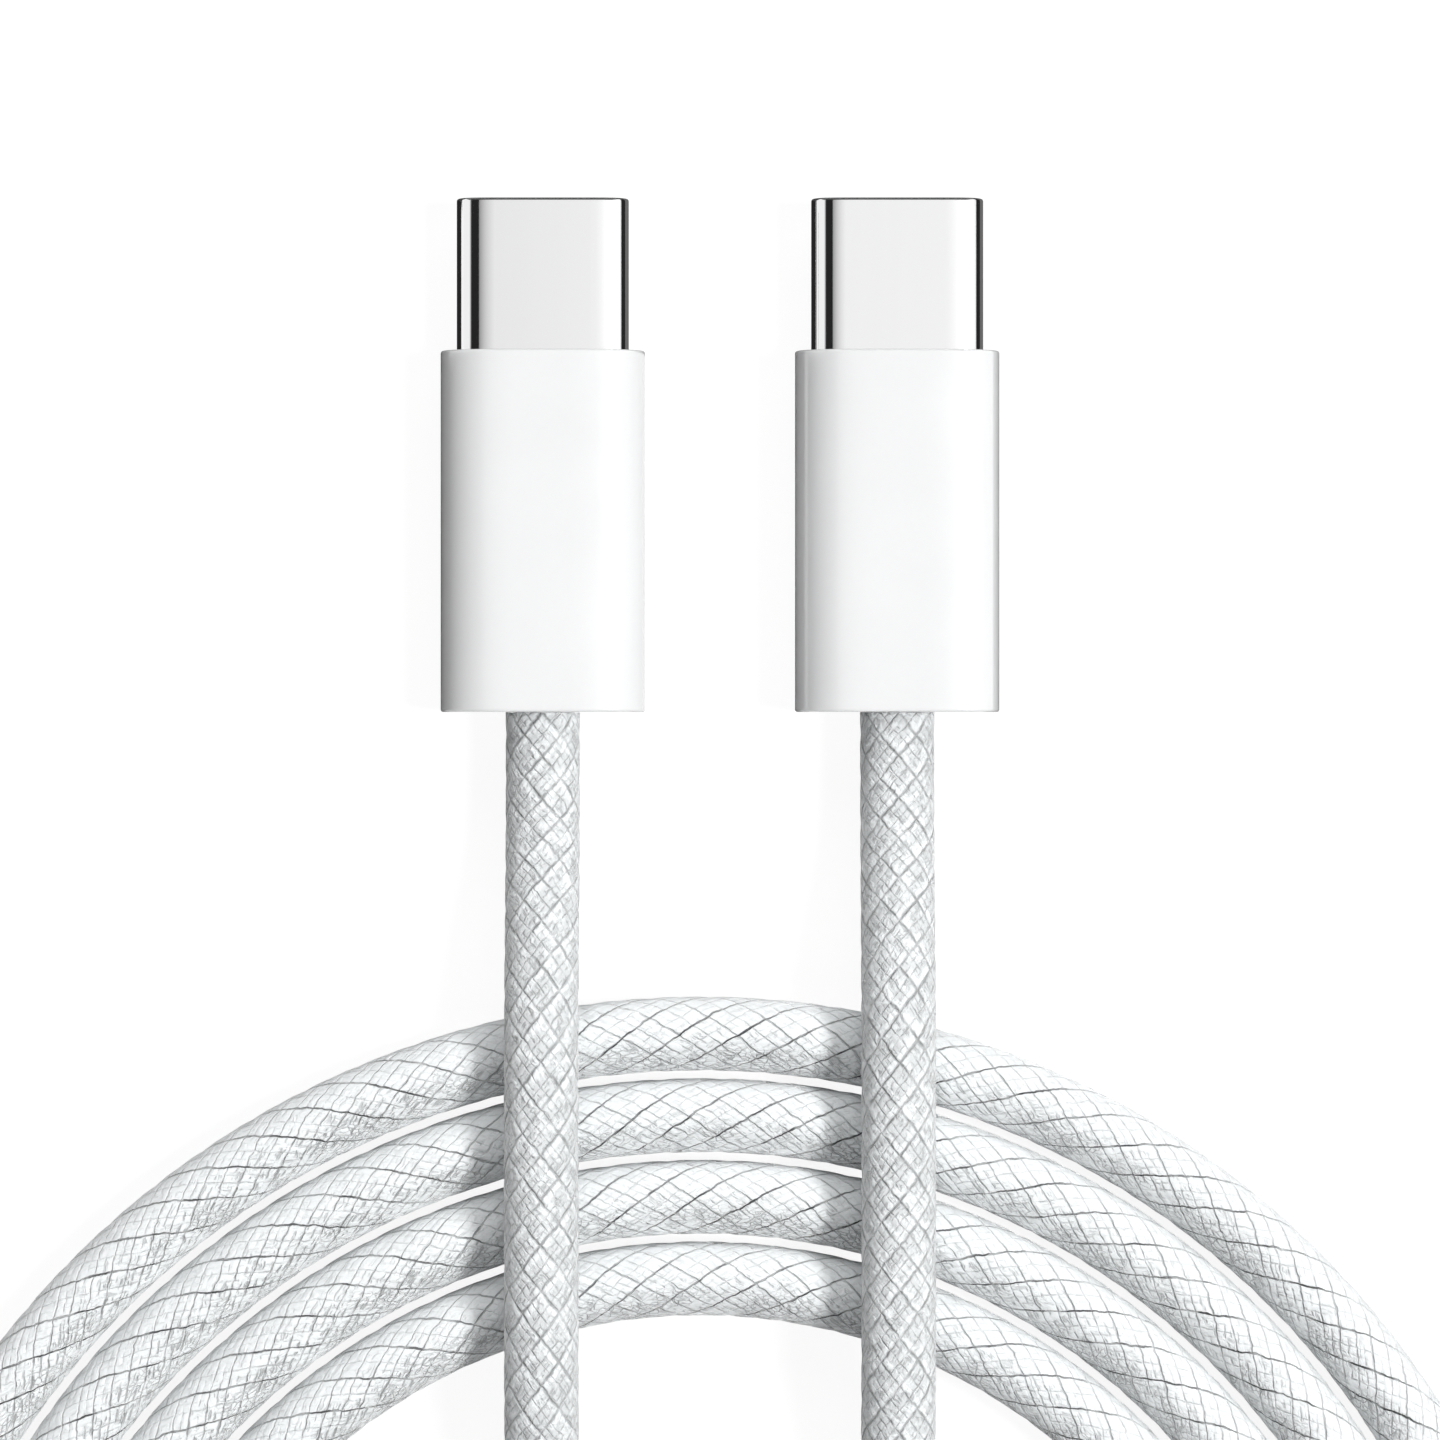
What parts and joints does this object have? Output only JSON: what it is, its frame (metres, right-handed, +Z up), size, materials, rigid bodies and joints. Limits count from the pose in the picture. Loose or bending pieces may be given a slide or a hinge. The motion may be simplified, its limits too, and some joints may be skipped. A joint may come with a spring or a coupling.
{
  "type": "charging cable",
  "caption": "Woven-sleeve charging cable wound in a flat coil, with both leads crossing the coil to reversible flat metal-shell plugs in slim gloss housings that lie side by side.",
  "frame": {"origin": "on the surface the cable lies on, under the middle of the box round the two plugs", "axes": "+Y out of the mouths of both plugs, +X from the left plug to the right one, +Z up"},
  "size_m": [0.0842, 0.1181, 0.0072],
  "materials": {
    "gloss_white": "gloss moulded",
    "polished_steel": "polished drawn steel",
    "woven_white": "braided textile",
    "insulator_plastic": "moulded",
    "carrier_plastic": "moulded",
    "contact_gold": "gold plated",
    "spring_steel": "stamped spring steel",
    "card_green": "solder mask",
    "capacitor_tan": "ceramic",
    "tinned_sheet": "tinned sheet",
    "mould_plastic": "moulded",
    "jacket_white": "soft extruded jacket",
    "braid_wire": "tinned wire braid",
    "wire_red": "extruded insulation",
    "wire_black": "extruded insulation",
    "wire_blue": "extruded insulation",
    "wire_green": "extruded insulation"
  },
  "bodies": {
    "root": {"left_housing": "gloss_white", "left_front_plate": "gloss_white", "left_shell": "polished_steel", "left_insulator": "insulator_plastic", "left_upper_contacts": "contact_gold", "left_lower_contacts": "contact_gold", "left_upper_wafer": "carrier_plastic", "left_lower_wafer": "carrier_plastic", "left_latch_plate": "spring_steel", "left_upper_ground_spring": "spring_steel", "left_lower_ground_spring": "spring_steel", "left_paddle_card": "card_green", "left_capacitors": "capacitor_tan", "left_upper_can": "tinned_sheet", "left_lower_can": "tinned_sheet", "left_inner_mould": "mould_plastic", "left_ferrule": "tinned_sheet", "left_sleeve_end": "woven_white", "left_jacket_end": "jacket_white", "left_braid_end": "braid_wire", "left_power_wire": "wire_red", "left_ground_wire": "wire_black", "left_control_wire": "wire_blue", "left_data_wires": "wire_green", "right_housing": "gloss_white", "right_front_plate": "gloss_white", "right_shell": "polished_steel", "right_insulator": "insulator_plastic", "right_upper_contacts": "contact_gold", "right_lower_contacts": "contact_gold", "right_upper_wafer": "carrier_plastic", "right_lower_wafer": "carrier_plastic", "right_latch_plate": "spring_steel", "right_upper_ground_spring": "spring_steel", "right_lower_ground_spring": "spring_steel", "right_paddle_card": "card_green", "right_capacitors": "capacitor_tan", "right_upper_can": "tinned_sheet", "right_lower_can": "tinned_sheet", "right_inner_mould": "mould_plastic", "right_ferrule": "tinned_sheet", "right_sleeve_end": "woven_white", "right_jacket_end": "jacket_white", "right_braid_end": "braid_wire", "right_power_wire": "wire_red", "right_ground_wire": "wire_black", "right_control_wire": "wire_blue", "right_data_wires": "wire_green", "cord_lead_left": "woven_white", "cord_coil": "woven_white", "cord_lead_right": "woven_white"}
  },
  "joints": []
}
